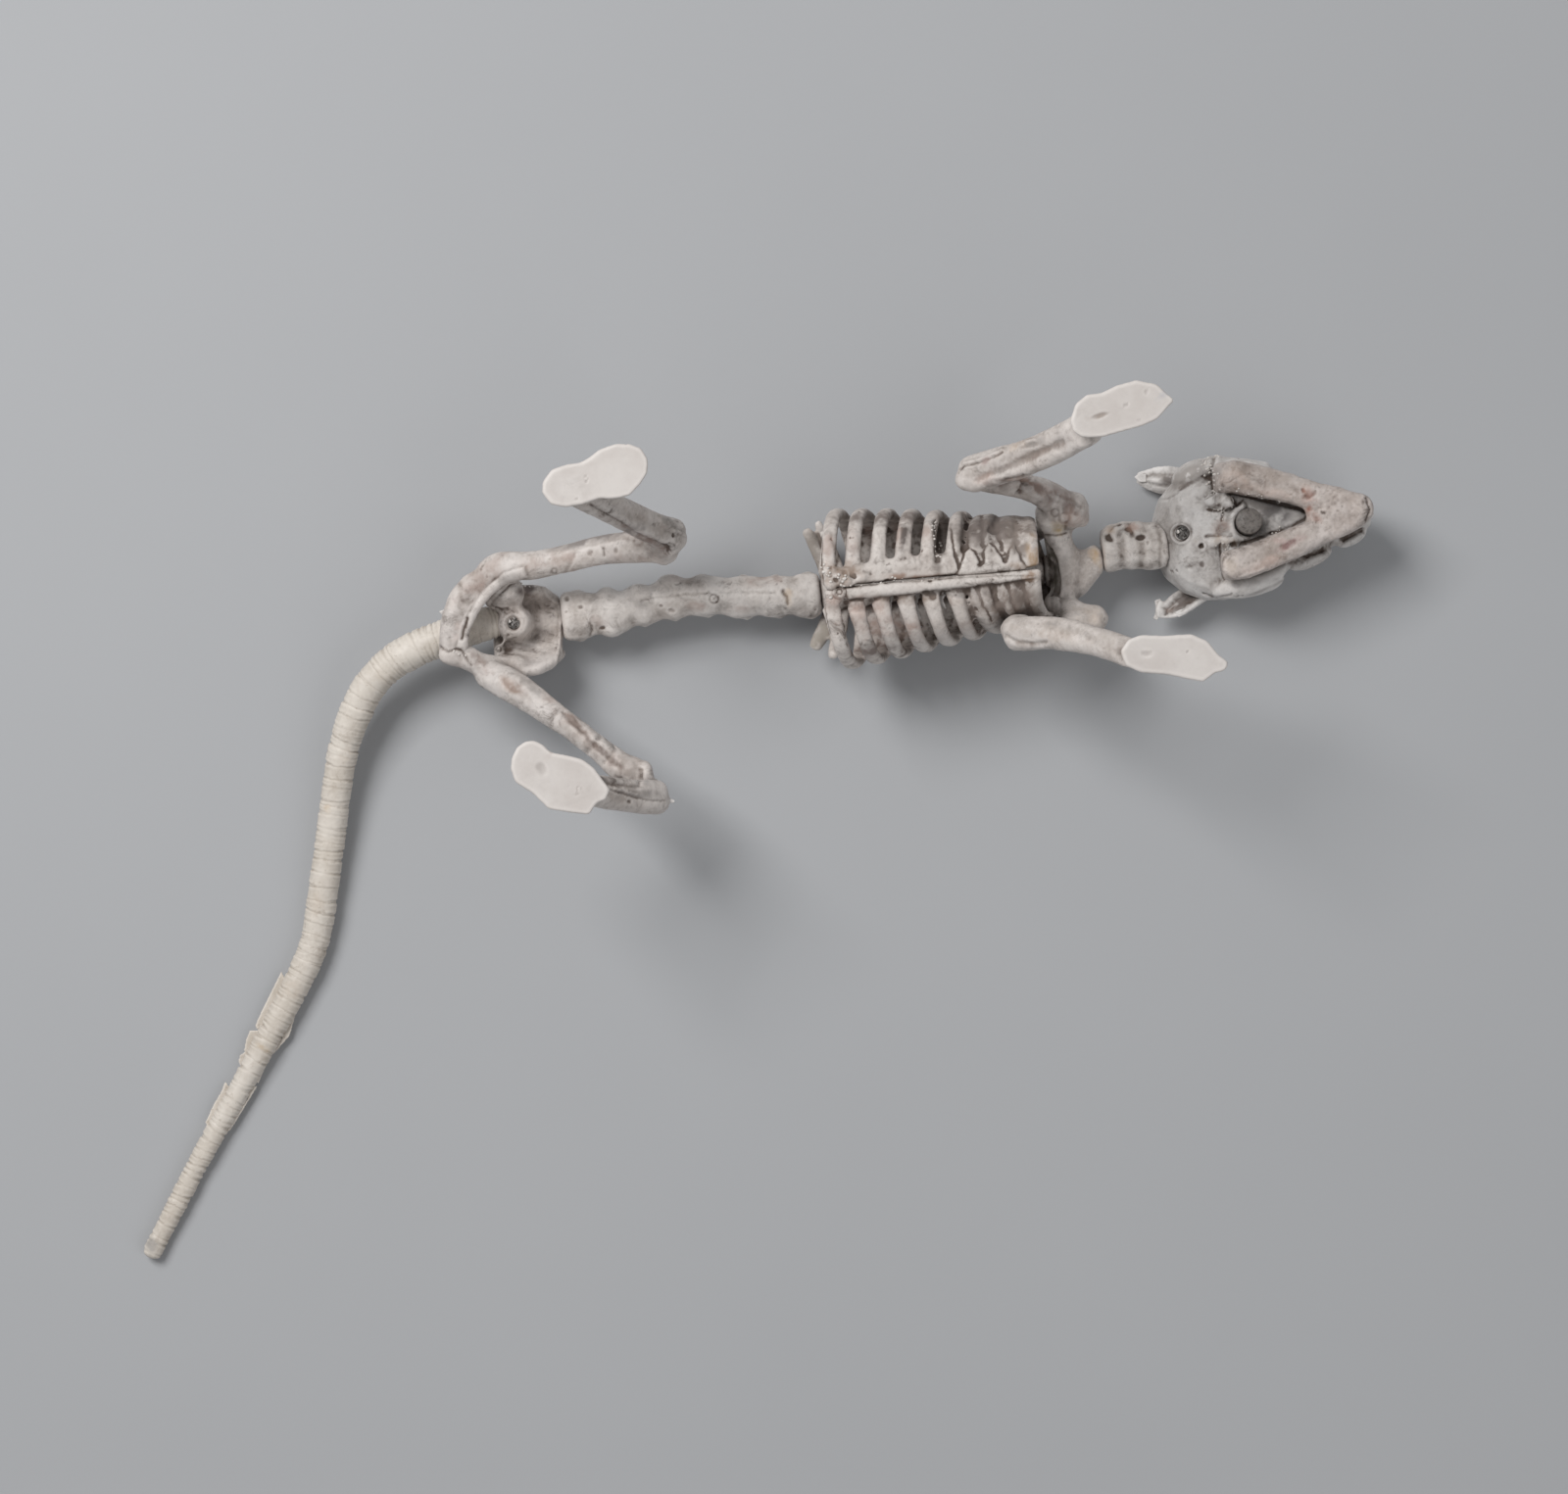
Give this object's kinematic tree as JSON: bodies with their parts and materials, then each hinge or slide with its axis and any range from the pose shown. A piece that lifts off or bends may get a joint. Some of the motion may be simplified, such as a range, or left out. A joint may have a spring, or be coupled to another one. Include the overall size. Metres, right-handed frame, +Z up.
{
  "type": "rat skeleton",
  "caption": "Life-size toy rat skeleton in moulded plastic, lying on its back with bent legs up on flat foot pads, open rib cage and a curved ringed tail.",
  "frame": {"origin": "on the floor, at the flat end of the back blade under the middle of the rib cage", "axes": "+X along the back from tail to nose, +Y towards the animal's right side, +Z up, from the back on the floor to the belly and the soles of the feet"},
  "size_m": [0.3027, 0.1775, 0.064],
  "materials": {
    "bone_plastic": "bone-white moulded plastic with a brown wash in the hollows",
    "tail_plastic": "ivory moulded plastic",
    "foot_plastic": "pale satin soles",
    "peg_plastic": "speckled grey-brown",
    "screw_steel": "plated steel, cross slot"
  },
  "bodies": {
    "root": {"skull": "bone_plastic", "lower_jaw": "bone_plastic", "ear_right": "bone_plastic", "ear_left": "bone_plastic", "palate_peg": "peg_plastic", "screw_skull": "screw_steel", "neck": "bone_plastic", "shoulder_girdle": "bone_plastic", "shoulder_blade_right": "bone_plastic", "shoulder_blade_left": "bone_plastic", "chest_spine": "bone_plastic", "rib_cage_right": "bone_plastic", "rib_cage_left": "bone_plastic", "lumbar_spine": "bone_plastic", "pelvis": "bone_plastic", "screw_pelvis": "screw_steel", "tail_base": "tail_plastic", "tail_middle": "tail_plastic", "tail_end": "tail_plastic", "femur_right": "bone_plastic", "femur_left": "bone_plastic", "shin_right": "bone_plastic", "shin_left": "bone_plastic", "hindfoot_right": "foot_plastic", "hindfoot_left": "foot_plastic", "humerus_right": "bone_plastic", "humerus_left": "bone_plastic", "forearm_right": "bone_plastic", "forearm_left": "bone_plastic", "forefoot_right": "foot_plastic", "forefoot_left": "foot_plastic"}
  },
  "joints": []
}
